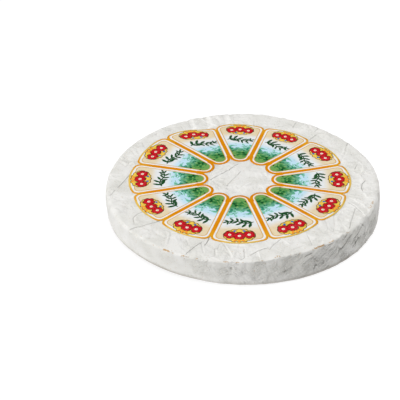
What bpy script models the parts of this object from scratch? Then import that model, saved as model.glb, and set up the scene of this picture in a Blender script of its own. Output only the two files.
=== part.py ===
# A whole wheel of brie with its ring-shaped paper label.
# Metres, +Z up, origin under the middle of the bounding box, at the resting face.
# Directions round the wheel are clock directions seen from above: 0 degrees is +Y, 90 is +X.
import bpy
import bmesh
import numpy as np

# Wheel
DIAMETER = 0.340
THICKNESS = 0.035
RIM_ROUNDING = 0.0055
FOOT_ROUNDING = 0.0035
WALL_BULGE = 0.0006
SEGMENTS = 120

# How far each outline is out of round: lobes round the wheel, height in metres, direction in degrees
RIM_LOBES = [(1, 0.0006, -178), (2, 0.0003, 28), (3, 0.0012, -22), (4, 0.0005, 11), (6, 0.0003, 11)]
FLARE_LOBES = [(1, 0.0017, 105), (2, 0.0021, -48), (3, 0.0009, 31), (4, 0.0009, -24)]
WALL_FOLDS = [(9, 0.0003, 4), (17, 0.0003, 11), (26, 0.00025, 3)]
RIM_DIPS = [(5, 0.0003, 20), (11, 0.00025, 7)]
ROUNDING_LOBES = [(1, 0.002, 0), (2, -0.001, 0)]

# Broad swells of the top: direction in degrees, distance out, width, rise
TOP_SWELLS = [
    (15, 0.122, 0.048, -0.0016),
    (-50, 0.085, 0.042, 0.0013),
    (80, 0.077, 0.048, -0.0015),
    (135, 0.094, 0.042, 0.0017),
]

# Label: one sheet of twelve petals round an open hub, laid by hand a little off the middle
PETALS = 12
RING_TURN = 2.6
RING_OFFSET = (-0.0016, 0.0039)
TIP_DISTANCE = 0.039
INNER_NOTCH = 0.048
OUTER_NOTCH = 0.1275
END_DISTANCE = 0.1375
END_RADIUS = 0.076
CORNER_RADIUS = 0.008
CORNER_STEPS = 3
END_STEPS = 4
PETAL_ROWS = 5
PAPER = 0.0002
GAP = 0.0003

# How far the sheet is pulled out at its outer notches: lobes, and local pulls of
# direction in degrees, spread and size. Its left and right sides lie a little towards the front.
SHEET_LOBES = [(1, 0.0017, -138), (2, 0.0019, -53), (3, 0.0008, -43), (4, 0.0004, -7)]
SHEET_PULLS = [(-18.5, 8, -0.0072), (-40, 8, 0.0025), (-48, 7, 0.0022)]
SIDE_SHIFT = 0.0024

FOOT_STEPS = 3
RIM_STEPS = 4
WALL_LEVELS = (0.25, 0.5, 0.75)
TOP_RINGS = (0.91, 0.80, 0.68, 0.56, 0.44, 0.32, 0.20, 0.09)


def direction(angle):
    """Unit vectors in plan for clock angles in radians."""
    return np.stack([np.sin(angle), np.cos(angle)], axis=-1)


def lobes(angle, table):
    """Sum of cosine lobes at clock angles in radians."""
    total = np.zeros_like(angle)
    for count, size, place in table:
        total += size * np.cos(count * (angle - np.radians(place)))
    return total


def swell(points):
    """Rise of the top surface over its level, at points in plan."""
    rise = np.zeros(len(points))
    for place, distance, width, height in TOP_SWELLS:
        middle = distance * direction(np.radians(place))
        away = ((points - middle) ** 2).sum(axis=1)
        rise += height * np.exp(-away / (2 * width**2))
    return rise


def wheel_rings():
    """Closed loops of points from the resting face, up the wall and in over the top."""
    angle = np.linspace(0, 2 * np.pi, SEGMENTS, endpoint=False)
    out = direction(angle)
    rim = DIAMETER / 2 + lobes(angle, RIM_LOBES)
    foot = rim + lobes(angle, FLARE_LOBES)
    rounding = RIM_ROUNDING + lobes(angle, ROUNDING_LOBES)
    shoulder = THICKNESS - rounding + lobes(angle, RIM_DIPS)
    rings = []

    def add(radius, height):
        rings.append(np.column_stack([out * radius[:, None], height]))

    for turn in np.linspace(0, np.pi / 2, FOOT_STEPS + 1):
        add(foot - FOOT_ROUNDING * (1 - np.sin(turn)), np.full(SEGMENTS, FOOT_ROUNDING * (1 - np.cos(turn))))
    for level in WALL_LEVELS:
        shape = np.sin(np.pi * level)
        radius = foot + (rim - foot) * level + (WALL_BULGE + lobes(angle, WALL_FOLDS)) * shape
        add(radius, FOOT_ROUNDING + (shoulder - FOOT_ROUNDING) * level)
    for turn in np.linspace(0, np.pi / 2, RIM_STEPS + 1):
        radius = rim - rounding * (1 - np.cos(turn))
        lift = (THICKNESS - shoulder) * np.sin(turn)
        add(radius, shoulder + lift + np.sin(turn) * swell(out * radius[:, None]))
    for share in TOP_RINGS:
        radius = share * (rim - rounding)
        add(radius, THICKNESS + swell(out * radius[:, None]))
    return rings


def circle_between(notch):
    """Centre distance and radius of the tip's circle, through the tip and the inner notch."""
    centre = (notch @ notch - TIP_DISTANCE**2) / (2 * (notch[1] - TIP_DISTANCE))
    return centre, centre - TIP_DISTANCE


def corner_centre(notch):
    """Centre of the corner's circle, inside the end's circle and through the outer notch."""
    middle = np.array([0.0, END_DISTANCE - END_RADIUS])
    reach = END_RADIUS - CORNER_RADIUS
    span = notch - middle
    length = np.hypot(*span)
    along = (reach**2 - CORNER_RADIUS**2 + length**2) / (2 * length)
    aside = np.sqrt(reach**2 - along**2)
    unit = span / length
    return middle + along * unit + aside * np.array([-unit[1], unit[0]])


def petal_edges():
    """Inner and outer edge of one petal that points along +Y, from its left notch to its right one."""
    half = np.pi / PETALS
    tip_notch = INNER_NOTCH * direction(half)
    end_notch = OUTER_NOTCH * direction(half)
    columns = 2 * CORNER_STEPS + END_STEPS

    centre, radius = circle_between(tip_notch)
    sweep = np.arctan2(tip_notch[0], centre - tip_notch[1])
    turn = np.linspace(-sweep, sweep, columns + 1)
    inner = np.column_stack([radius * np.sin(turn), centre - radius * np.cos(turn)])

    corner = corner_centre(end_notch)
    middle = np.array([0.0, END_DISTANCE - END_RADIUS])
    lean = np.arctan2(*(corner - middle))
    start = np.arctan2(*(end_notch - corner))
    turn = np.linspace(start, lean, CORNER_STEPS + 1)
    right = corner + CORNER_RADIUS * direction(turn)
    turn = np.linspace(lean, -lean, END_STEPS + 1)
    end = middle + END_RADIUS * direction(turn)
    left = right[::-1] * [-1, 1]
    outer = np.concatenate([right, end[1:-1], left])[::-1]
    return inner, outer


def stretched(points):
    """Points of the flat sheet, pulled out in step with their distance beyond the inner notches.

    The sides are then moved to the front, by the square of the sine of the direction.
    """
    angle = np.arctan2(points[:, 0], points[:, 1])
    pull = lobes(angle, SHEET_LOBES)
    for place, spread, size in SHEET_PULLS:
        away = (np.degrees(angle) - place + 180) % 360 - 180
        pull += size * np.exp(-((away / spread) ** 2))
    distance = np.hypot(*points.T)
    share = np.maximum(distance - INNER_NOTCH, 0) / (OUTER_NOTCH - INNER_NOTCH)
    shift = np.column_stack([np.zeros(len(points)), SIDE_SHIFT * np.sin(angle) ** 2])
    return points * (1 + share * pull / distance)[:, None] - shift


def label_rows():
    """Closed loops of points in plan from the label's inner edge to its outer edge."""
    inner, outer = petal_edges()
    rows = []
    for share in np.linspace(0, 1, PETAL_ROWS + 1):
        petal = inner[:-1] + (outer[:-1] - inner[:-1]) * share
        loop = []
        for number in range(PETALS):
            angle = np.radians(RING_TURN) + 2 * np.pi * number / PETALS
            across = np.array([np.cos(angle), -np.sin(angle)])
            along = np.array([np.sin(angle), np.cos(angle)])
            loop.append(petal[:, :1] * across + petal[:, 1:] * along)
        rows.append(stretched(np.concatenate(loop)) + RING_OFFSET)
    return rows


def label_rings():
    """Loops of points round the sheet's skin: out over its underside, back over its upper side."""
    rows = label_rows()
    rings = [np.column_stack([row, THICKNESS + GAP + swell(row)]) for row in rows]
    rings += [np.column_stack([row, THICKNESS + GAP + PAPER + swell(row)]) for row in rows[::-1]]
    return rings


def material(name, colour, roughness):
    made = bpy.data.materials.new(name)
    made.use_nodes = True
    shader = made.node_tree.nodes["Principled BSDF"]
    shader.inputs["Base Color"].default_value = (*colour, 1)
    shader.inputs["Roughness"].default_value = roughness
    return made


def loft(name, rings, closed, finish):
    """An object skinned over loops of points: closed joins the last loop to the first, else both ends are capped."""
    build = bmesh.new()
    loops = [[build.verts.new(point) for point in ring] for ring in rings]
    pairs = list(zip(loops, loops[1:]))
    if closed:
        pairs.append((loops[-1], loops[0]))
    for low, high in pairs:
        for i in range(len(low)):
            j = (i + 1) % len(low)
            build.faces.new([low[i], low[j], high[j], high[i]])
    if not closed:
        build.faces.new(loops[0])
        cap(build, loops[-1])
    bmesh.ops.recalc_face_normals(build, faces=build.faces)
    mesh = bpy.data.meshes.new(name)
    build.to_mesh(mesh)
    build.free()
    mesh.shade_smooth()
    mesh.set_sharp_from_angle(angle=np.radians(50))
    mesh.materials.append(finish)
    made = bpy.data.objects.new(name, mesh)
    bpy.context.scene.collection.objects.link(made)
    return made


def cap(build, loop):
    """Closes the innermost loop of the top with a fan to its middle."""
    middle = sum((vertex.co for vertex in loop), loop[0].co * 0) / len(loop)
    middle.z = THICKNESS + swell(np.array([middle[:2]]))[0]
    centre = build.verts.new(middle)
    for i, vertex in enumerate(loop):
        build.faces.new([vertex, loop[(i + 1) % len(loop)], centre])


def main():
    for old in list(bpy.data.objects):
        bpy.data.objects.remove(old)
    wheel_points = wheel_rings()
    flat = np.concatenate(wheel_points)
    shift = -(flat.min(axis=0) + flat.max(axis=0)) / 2 * [1, 1, 0]
    rind = material("bloomy_rind", (0.78, 0.77, 0.73), 0.85)
    paper = material("printed_paper", (0.80, 0.62, 0.33), 0.55)
    loft("brie_wheel", [ring + shift for ring in wheel_points], False, rind)
    loft("label_ring", [ring + shift for ring in label_rings()], True, paper)


main()
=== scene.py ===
# A whole wheel of brie: a crumpled white rind worn brown along its rim, and a ring of printed paper panels.
# Shapes are worked out in millimetres from the wheel's own axis, and become metres as they enter a mesh.
# Directions round the wheel are clock directions seen from above: 0 degrees is +Y, 90 is +X.
import bpy
import numpy as np
from mathutils import Matrix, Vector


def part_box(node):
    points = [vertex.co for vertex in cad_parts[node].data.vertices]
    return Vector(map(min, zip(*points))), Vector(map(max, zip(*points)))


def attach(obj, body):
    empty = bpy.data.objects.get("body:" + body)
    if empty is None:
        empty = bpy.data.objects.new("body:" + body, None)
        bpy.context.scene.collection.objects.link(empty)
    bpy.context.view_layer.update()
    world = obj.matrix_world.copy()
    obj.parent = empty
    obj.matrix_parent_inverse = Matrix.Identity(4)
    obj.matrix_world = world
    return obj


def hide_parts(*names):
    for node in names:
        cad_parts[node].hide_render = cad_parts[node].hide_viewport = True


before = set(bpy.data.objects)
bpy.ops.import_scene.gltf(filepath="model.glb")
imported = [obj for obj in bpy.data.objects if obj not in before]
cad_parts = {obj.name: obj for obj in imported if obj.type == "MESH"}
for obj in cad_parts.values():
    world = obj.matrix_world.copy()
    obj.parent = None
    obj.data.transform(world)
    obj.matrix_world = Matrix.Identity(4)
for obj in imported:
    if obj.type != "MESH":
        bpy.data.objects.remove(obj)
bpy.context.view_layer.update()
millimetre = 0.001
metre = 1000        # in millimetres: over the size of a pattern it gives the pattern's scale

# The size and unevenness of the wheel, in millimetres.
# Lobes are: how many round the wheel, size, direction. Swells are: direction, distance out, width, rise.
wheel = {
    "diameter": 340,
    "thickness": 35,
    "rimRounding": 5.5,
    "footRounding": 3.5,
    "wallBulge": 0.6,
    "rimLobes": [(1, 0.6, -178), (2, 0.3, 28), (3, 1.2, -22), (4, 0.5, 11), (6, 0.3, 11)],
    "flareLobes": [(1, 1.7, 105), (2, 2.1, -48), (3, 0.9, 31), (4, 0.9, -24)],
    "wallFolds": [(9, 0.3, 4), (17, 0.3, 11), (26, 0.25, 3)],
    "rimDips": [(5, 0.3, 20), (11, 0.25, 7)],
    "roundingLobes": [(1, 2, 0), (2, -1, 0)],
    "topSwells": [(15, 122, 48, -1.6), (-50, 85, 42, 1.3), (80, 77, 48, -1.5), (135, 94, 42, 1.7)],
    "cadSegments": 120,     # of the plain solid, whose box the wheel keeps to
    "cadLevels": (0, 0.25, 0.5, 0.75, 1),       # and the levels of its wall
}

# The wheel's skin is followed from the middle of its base, out, up the wall and in over the top.
# Lengths of these five stretches, and how far along the skin each starts:
stretches = {"base": 166.5, "foot": 5.5, "wall": 24.5, "rim": 11, "top": 163}
starts = dict(zip(stretches, np.cumsum([0, *stretches.values()])))

# Rows of points along the skin: stretch, from and to as a share of it, spacing, points in each row.
# The paper hides the coarse rows of the top.
skinRows = [
    ("base", 0.06, 0.20, 12, 32),
    ("base", 0.20, 0.40, 15, 64),
    ("base", 0.40, 0.62, 15, 128),
    ("base", 0.62, 0.80, 10, 256),
    ("base", 0.80, 0.93, 8, 512),
    ("base", 0.93, 1.00, 4, 1024),
    ("foot", 0.00, 1.00, 1.3, 1024),
    ("wall", 0.00, 1.00, 1.25, 1024),
    ("rim", 0.00, 1.00, 1.2, 1024),
    ("top", 0.00, 0.26, 1.33, 1024),
    ("top", 0.26, 0.30, 2.5, 512),
    ("top", 0.30, 0.64, 6, 256),
    ("top", 0.64, 0.84, 1.0, 512),
    ("top", 0.84, 0.92, 0.95, 256),
    ("top", 0.92, 0.96, 0.95, 128),
    ("top", 0.96, 0.985, 0.95, 64),
]

# The ring of paper, in millimetres
ring = {
    "petals": 12,
    "turn": 2.6,
    "offset": (-1.6, 3.9),
    "tipDistance": 39,
    "innerNotch": 48,
    "outerNotch": 127.5,
    "endDistance": 137.5,
    "endRadius": 76,
    "cornerRadius": 8,
    "cornerSteps": 8,
    "endSteps": 20,
    "rows": 40,
    "paper": 0.2,
    "gap": 0.3,
    "edgeSag": (0.15, 6),       # how much lower the edges lie, and over what distance
    # how far the sheet is pulled out at its outer notches, and in places: direction, spread, size
    "lobes": [(1, 1.7, -138), (2, 1.9, -53), (3, 0.8, -43), (4, 0.4, -7)],
    "pulls": [(-18.5, 8, -7.2), (-40, 8, 2.5), (-48, 7, 2.2)],
    "sideShift": 2.4,           # how far its left and right sides lie towards the front
}


def direction(angle):
    # unit vector in plan for a clock angle in radians
    return np.stack([np.sin(angle), np.cos(angle)], axis=-1)


def lobes(angle, table):
    # sum of size * cos(count * (angle - place))
    return sum(size * np.cos(count * (angle - np.radians(place))) for count, size, place in table)


def nearAngle(angle, middle, spread, allRound=0, more=1):
    # a bell round a clock direction in degrees, over what there is all round
    away = (np.degrees(angle) - middle + 180) % 360 - 180
    return allRound + more * np.exp(-((away / spread) ** 2))


def swell(plan):
    # broad rise of the top: a bell of the given width and height round each place
    rise = 0
    for place, distance, width, height in wheel["topSwells"]:
        away = ((plan - distance * direction(np.radians(place))) ** 2).sum(axis=-1)
        rise = rise + height * np.exp(-away / (2 * width**2))
    return rise


def smoothStep(value, low, high):
    # 0 up to low, 1 from high on, and level at both ends of the rise between them
    share = np.clip((value - low) / (high - low), 0, 1)
    return share * share * (3 - 2 * share)


def roundLeast(first, second, radius):
    # the lesser of two distances to edges, with the corner between the edges rounded
    corner = np.hypot(np.maximum(radius - first, 0), np.maximum(radius - second, 0))
    return np.maximum(radius, np.minimum(first, second)) - corner


def skin(angle, station):
    # point of the even wheel: each stretch adds its own change of radius and height.
    # Base out from the middle, quarter turn at the foot, wall with its bulge and folds,
    # quarter turn at the rim, and in over the top with its swells.
    done = {name: np.clip((station - starts[name]) / length, 0, 1) for name, length in stretches.items()}
    rim = wheel["diameter"] / 2 + lobes(angle, wheel["rimLobes"])
    foot = rim + lobes(angle, wheel["flareLobes"])
    rounding = wheel["rimRounding"] + lobes(angle, wheel["roundingLobes"])
    shoulder = wheel["thickness"] - rounding + lobes(angle, wheel["rimDips"])
    footTurn = done["foot"] * np.pi / 2
    rimTurn = done["rim"] * np.pi / 2
    bulge = (wheel["wallBulge"] + lobes(angle, wheel["wallFolds"])) * np.sin(np.pi * done["wall"])
    radius = done["base"] * (foot - wheel["footRounding"]) + wheel["footRounding"] * np.sin(footTurn)
    radius = radius + done["wall"] * (rim - foot) + bulge - rounding * (1 - np.cos(rimTurn))
    radius = radius - done["top"] * (rim - rounding)
    height = wheel["footRounding"] * (1 - np.cos(footTurn))
    height = height + done["wall"] * (shoulder - wheel["footRounding"])
    plan = direction(angle) * radius[..., None]
    height = height + np.sin(rimTurn) * (wheel["thickness"] - shoulder + swell(plan))
    return np.concatenate([plan, height[..., None]], axis=-1)


def wheelAxis():
    # where the wheel's axis stands in the part's frame: the plain solid's box is centred on its node's box
    low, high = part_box("brie_wheel")
    middle = np.array(low + high)[:2] / 2 / millimetre
    angle = np.linspace(0, 2 * np.pi, wheel["cadSegments"], endpoint=False)
    stations = starts["wall"] + stretches["wall"] * np.array(wheel["cadLevels"])
    plan = skin(angle, stations[:, None])[..., :2].reshape(-1, 2)
    return np.append(middle - (plan.min(axis=0) + plan.max(axis=0)) / 2, 0)


axis = wheelAxis()

# The camera, as fitted to the photo. Pixels are counted from the upper left corner of the square picture.
photo = {
    "side": 400,
    "focal": 1204.3,
    "tilt": 33.84,                          # degrees below level
    "roll": -1.484,
    "place": (-51.9, -1258.5, 849.8),       # millimetres from the wheel's axis, over the resting face
    "sensor": 36,
    "clipEnd": 50,                          # metres
}


def cameraAxes():
    # right, up and forward of the camera
    tilt, roll = np.radians([photo["tilt"], photo["roll"]])
    forward = np.array([0, np.cos(tilt), -np.sin(tilt)])
    level = np.array([1.0, 0, 0])
    upright = np.cross(level, forward)
    right = level * np.cos(roll) + upright * np.sin(roll)
    return right, np.cross(right, forward), forward


def rays(pixels):
    # direction from the camera through each pixel
    right, up, forward = cameraAxes()
    away = (np.array(pixels, float) - photo["side"] / 2) / photo["focal"]
    return forward + away[:, :1] * right - away[:, 1:] * up


def seenOnTop(pixels):
    # where each pixel's ray meets the level of the top
    place = np.array(photo["place"])
    ray = rays(pixels)
    return place + ray * ((wheel["thickness"] - place[2]) / ray[:, 2])[:, None]


def seenOnWall(pixels):
    # where each pixel's ray first meets an upright round wall, whose radius is then set to the wheel's own.
    # Three rounds settle it.
    place = np.array(photo["place"])
    ray = rays(pixels)
    square = (ray[:, :2] ** 2).sum(axis=1)
    half = (ray[:, :2] * place[:2]).sum(axis=1)
    wallHeight = wheel["thickness"] - wheel["footRounding"] - wheel["rimRounding"]
    radius = wheel["diameter"] / 2
    for step in range(3):
        rest = (place[:2] ** 2).sum() - radius**2
        reach = (-half - np.sqrt(np.maximum(half**2 - square * rest, 0))) / square
        spot = place + ray * reach[:, None]
        angle = np.arctan2(spot[:, 0], spot[:, 1])
        level = np.clip((spot[:, 2] - wheel["footRounding"]) / wallHeight, 0, 1)
        rim = wheel["diameter"] / 2 + lobes(angle, wheel["rimLobes"])
        bulge = (wheel["wallBulge"] + lobes(angle, wheel["wallFolds"])) * np.sin(np.pi * level)
        radius = rim + (1 - level) * lobes(angle, wheel["flareLobes"]) + bulge
    return spot


seenOn = {"top": seenOnTop, "wall": seenOnWall}


def makeCamera():
    # the photo's camera, beside the wheel where it stands in the part's frame
    right, up, forward = cameraAxes()
    data = bpy.data.cameras.new("camera")
    data.sensor_width = photo["sensor"]
    data.lens = photo["focal"] / photo["side"] * photo["sensor"]
    data.clip_end = photo["clipEnd"]
    camera = bpy.data.objects.new("camera", data)
    turn = Matrix(np.array([right, up, -forward]).T.tolist()).to_4x4()
    camera.matrix_world = Matrix.Translation((np.array(photo["place"]) + axis) * millimetre) @ turn
    bpy.context.scene.collection.objects.link(camera)
    bpy.context.scene.camera = camera


makeCamera()
print("camera placed")


def linear(hexColour):
    # sRGB hex to linear red, green, blue and a full alpha
    parts = np.array([int(hexColour[i : i + 2], 16) for i in (1, 3, 5)]) / 255
    parts = np.where(parts <= 0.04045, parts / 12.92, ((parts + 0.055) / 1.055) ** 2.4)
    return (*parts.tolist(), 1.0)


def newMaterial(name, roughness, shine=0.5):
    # a new material and its nodes. Shine is how much it mirrors where it is seen straight on.
    made = bpy.data.materials.new(name)
    made.use_nodes = True
    shader = made.node_tree.nodes["Principled BSDF"]
    shader.inputs["Roughness"].default_value = roughness
    shader.inputs["Specular IOR Level"].default_value = shine
    return made, made.node_tree, shader


def addNode(tree, kind, settings={}, inputs={}, out=0):
    # adds one node with its settings, gives each input a link or a value, and returns one output
    node = tree.nodes.new("ShaderNode" + kind)
    for name, value in settings.items():
        setattr(node, name, value)
    for key, value in inputs.items():
        if isinstance(value, bpy.types.NodeSocket):
            tree.links.new(value, node.inputs[key])
        else:
            node.inputs[key].default_value = value
    return node.outputs[out]


def rising(value, low, high, most=1.0):
    # inputs of a MapRange node that grows from nothing at low to most at high
    return {0: value, 1: low, 2: high, 4: most}


# Settings of the commonest nodes. A Mix node's colours are its inputs 6 and 7 and its output 2. A MapRange
# node turns the range from its input 1 to 2 into the one from its input 3 to 4, or else from 0 to 1.
colourMix = {"data_type": "RGBA"}
softly = {"interpolation_type": "SMOOTHSTEP"}
plus = {"operation": "ADD"}
times = {"operation": "MULTIPLY"}
timesPlus = {"operation": "MULTIPLY_ADD"}
lessThan = {"operation": "LESS_THAN"}


def hashed(cells, seed):
    # three numbers from -1 to 1 for each lattice point, scrambled from its whole coordinates
    factors = np.array([73856093, 19349663, 83492791], np.uint64)
    seedFactor = 7919
    salts = (2246822519, 3266489917, 668265263)
    wholeRange, halfRange = np.uint64(0xFFFFFFFF), 0x7FFFFFFF
    mixed = (cells.astype(np.uint64) * factors).sum(axis=-1, dtype=np.uint64)
    mixed = mixed + np.uint64(seed * seedFactor)
    numbers = []
    for salt in salts:
        mixed = (mixed ^ (mixed >> np.uint64(15))) * np.uint64(salt) & wholeRange
        numbers.append(mixed / halfRange - 1)
    return np.stack(numbers, axis=-1)


def noise(points, seed):
    # gradient noise from about -1 to 1: a hashed slope at each lattice point, blended with a quintic fade
    cell = np.floor(points)
    part = points - cell
    fade = part**3 * (part * (part * 6 - 15) + 10)
    gain = 1.5      # the blended slopes alone reach about two thirds
    total = 0
    for corner in np.ndindex(2, 2, 2):
        weight = np.where(corner, fade, 1 - fade).prod(axis=-1)
        slope = hashed((cell + corner).astype(np.int64), seed)
        total = total + weight * (slope * (part - corner)).sum(axis=-1)
    return total * gain


def crumple(cells, seed, around=None):
    # crushed paper: each cell of a flat lattice holds a centre and a slope, and the highest of the tilted
    # domes round the near centres wins, so that flat facets meet in sharp valleys. Around: cells in a turn.
    # Returns the height, and how far away the nearest valley is.
    scatter = 0.42      # how far a centre may lie from the middle of its cell
    tilt = 0.55         # of the facets
    doming = 0.6        # how round they are
    home = np.floor(cells)
    best = np.full(len(cells), -np.inf)
    second = best
    for step in np.ndindex(3, 3):
        cell = home + np.array(step) - 1
        index = cell.copy()
        if around:
            index[:, 0] %= around
        index = np.column_stack([index, np.zeros(len(index))]).astype(np.int64)
        away = cells - cell - 0.5 - scatter * hashed(index, seed)[:, :2]
        slope = hashed(index, seed + 1)[:, :2]
        dome = tilt * (away * slope).sum(axis=1) - doming * (away**2).sum(axis=1)
        second = np.maximum(second, np.minimum(best, dome))
        best = np.maximum(best, dome)
    return best, (best - second) / (2 * doming)


def addMesh(name, points, faces, material, attributes={}, uv=None):
    # points in millimetres from the wheel's axis; faces are rows of indices; uv has one row per face corner
    mesh = bpy.data.meshes.new(name)
    mesh.vertices.add(len(points))
    mesh.vertices.foreach_set("co", ((points + axis) * millimetre).ravel())
    mesh.loops.add(faces.size)
    mesh.loops.foreach_set("vertex_index", faces.ravel())
    mesh.polygons.add(len(faces))
    mesh.polygons.foreach_set("loop_start", np.arange(0, faces.size, faces.shape[1]))
    mesh.update(calc_edges=True)
    for key, values in attributes.items():
        mesh.attributes.new(key, "FLOAT", "POINT").data.foreach_set("value", values.astype(np.float32))
    if uv is not None:
        mesh.uv_layers.new(name="print").data.foreach_set("uv", uv.astype(np.float32).ravel())
    mesh.validate()
    mesh.shade_smooth()
    mesh.materials.append(material)
    made = bpy.data.objects.new(name, mesh)
    bpy.context.scene.collection.objects.link(made)
    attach(made, "root")
    return made


halfPetal = np.pi / ring["petals"]
endMiddle = np.array([0.0, ring["endDistance"] - ring["endRadius"]])    # centre of the petal end's circle


def circleBetween(notch):
    # centre distance and radius of the petal tip's circle, through its tip and its inner notch
    centre = (notch @ notch - ring["tipDistance"] ** 2) / (2 * (notch[1] - ring["tipDistance"]))
    return centre, centre - ring["tipDistance"]


def cornerCentre(notch):
    # centre of the petal corner's circle, inside the end's circle and through the outer notch
    reach = ring["endRadius"] - ring["cornerRadius"]
    span = notch - endMiddle
    length = np.hypot(*span)
    along = (reach**2 - ring["cornerRadius"] ** 2 + length**2) / (2 * length)
    aside = np.sqrt(reach**2 - along**2)
    unit = span / length
    return endMiddle + along * unit + aside * np.array([-unit[1], unit[0]])


tipNotch = ring["innerNotch"] * direction(halfPetal)
endNotch = ring["outerNotch"] * direction(halfPetal)
tipCentre, tipRadius = circleBetween(tipNotch)
petalCorner = cornerCentre(endNotch)


def petalEdges():
    # inner and outer edge of one petal along +Y, from its left notch to its right one: all arcs
    columns = 2 * ring["cornerSteps"] + ring["endSteps"]
    sweep = np.arctan2(tipNotch[0], tipCentre - tipNotch[1])
    turn = np.linspace(-sweep, sweep, columns + 1)
    inner = np.column_stack([tipRadius * np.sin(turn), tipCentre - tipRadius * np.cos(turn)])
    lean = np.arctan2(*(petalCorner - endMiddle))
    start = np.arctan2(*(endNotch - petalCorner))
    turn = np.linspace(start, lean, ring["cornerSteps"] + 1)
    right = petalCorner + ring["cornerRadius"] * direction(turn)
    turn = np.linspace(lean, -lean, ring["endSteps"] + 1)
    end = endMiddle + ring["endRadius"] * direction(turn)
    left = right[::-1] * [-1, 1]
    return inner, np.concatenate([right, end[1:-1], left])[::-1]


def petalTurn(number):
    # clock direction of a petal, in radians
    return np.radians(ring["turn"]) + 2 * halfPetal * number


def sheetStretch(angle):
    # share by which distances beyond the inner notches grow, as the sheet was pulled while it was laid
    pull = lobes(angle, ring["lobes"])
    for place, spread, size in ring["pulls"]:
        pull = pull + size * nearAngle(angle, place, spread)
    return pull / (ring["outerNotch"] - ring["innerNotch"])


def petalPlan(local, number):
    # places points of a petal, across and along it, on the wheel
    angle = petalTurn(np.asarray(number))
    across = np.stack([np.cos(angle), -np.sin(angle)], axis=-1)
    flat = local[..., :1] * across + local[..., 1:] * direction(angle)
    angle, distance = np.arctan2(flat[..., 0], flat[..., 1]), np.hypot(flat[..., 0], flat[..., 1])
    grown = distance + sheetStretch(angle) * np.maximum(distance - ring["innerNotch"], 0)
    return direction(angle) * grown[..., None] - sideShift(angle) + ring["offset"]


def sideShift(angle):
    # the sides lie towards the front, by the square of the sine of the direction
    return np.stack([np.zeros_like(angle), ring["sideShift"] * np.sin(angle) ** 2], axis=-1)


def petalLocal(plan):
    # the reverse: across and along its own petal, for any point in plan. Two rounds settle its direction.
    out = plan - ring["offset"]
    angle = np.arctan2(out[..., 0], out[..., 1])
    for step in range(2):
        moved = out + sideShift(angle)
        angle = np.arctan2(moved[..., 0], moved[..., 1])
    grown = np.hypot(moved[..., 0], moved[..., 1])
    beyond = np.maximum(grown - ring["innerNotch"], 0) / (1 + sheetStretch(angle))
    distance = np.minimum(grown, ring["innerNotch"]) + beyond
    angle = (angle - np.radians(ring["turn"]) + halfPetal) % (2 * halfPetal) - halfPetal
    return distance[..., None] * direction(angle)


def paperEdge(local, sides):
    # distance in from the paper's edge, positive on the paper. With sides, the borders between petals count
    # too, and the broader border at the tip is measured in widths of the common one.
    across = np.abs(local[..., 0])
    along = local[..., 1]
    fromSide = along * np.sin(halfPetal) - across * np.cos(halfPetal)
    tip = tipRadius - np.hypot(across, along - tipCentre)
    tip = np.where(along < tipCentre, tip, np.inf)
    end = ring["endRadius"] - np.hypot(across, along - endMiddle[1])
    if sides:
        tip = tip * printed["border"] / printed["tipBorder"]
        edge = roundLeast(fromSide, end, ring["cornerRadius"])
        return np.minimum(edge, roundLeast(fromSide, tip, printed["tipCorner"]))
    fromCorner = np.stack([across, along], axis=-1) - petalCorner
    inside = ring["cornerRadius"] - np.hypot(fromCorner[..., 0], fromCorner[..., 1])
    inCorner = np.arctan2(fromCorner[..., 0], fromCorner[..., 1]) > np.arctan2(*(petalCorner - endMiddle))
    end = np.where(inCorner & (fromCorner[..., 1] > 0), inside, end)
    return np.minimum(tip, end)


# What is printed on each panel, in millimetres. Pairs of distances out, or across, say where a change of
# tint begins and ends, and a number after them how far it goes.
printed = {
    "border": 2.55,             # the orange band along every edge, and half of the one between two petals
    "tipBorder": 3.4,
    "tipCorner": 5,             # rounding of the border's inner edge between tip and side
    "inset": 5.4,               # from a side to the printed panel
    "tipDistance": 44.6,
    "endDistance": 130.6,
    "cornerRadius": 6,
    "line": 1.0,
    "blur": 0.1,                # each ink's edge is soft by this much to either side
    "mapSize": 100,             # the square that the print's own map covers
    "amberFrom": (106, 122),
    "goldFrom": (121, 128),
    "goldWithin": (14, 29),
    "paleFrom": (81, 92),
    "creamFrom": (101, 113),
    "leafSize": (3.0, 2.5),     # of the mosaic's leaves, across and along
    "leafBends": (12, 0.05),    # their edges wander: how often in one map, and by what share of it
    "leafShades": (0.2, 0.8),   # range of the random numbers that takes a leaf from one shade to the other
    "mistShades": (0.35, 0.65),
    "darkFrom": (49, 58, 0.72),
    "mistFrom": (62, 76, 0.85),
    "leavesEnd": (68, 87.5, 1.05),
    "roughness": 0.55,
    "shine": 0.05,
    "mottleSize": 6,
    "mottle": (0.3, 0.7, 0.10),
    "inks": {
        "orange": "#D38606",
        "amber": "#D99A1E",
        "gold": "#DDBA5A",
        "white": "#E1E2E1",
        "tan": "#CB9C4E",
        "leafLight": "#6C9C53",
        "leaf": "#3F8646",
        "leafDark": "#0E4A24",
        "teal": "#8ECDBC",
        "tealDark": "#3C9478",
        "sky": "#B9D8E8",
        "pale": "#DDE0E2",
        "cream": "#DCCBA9",
        "mottled": "#808080",
    },
}

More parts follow.
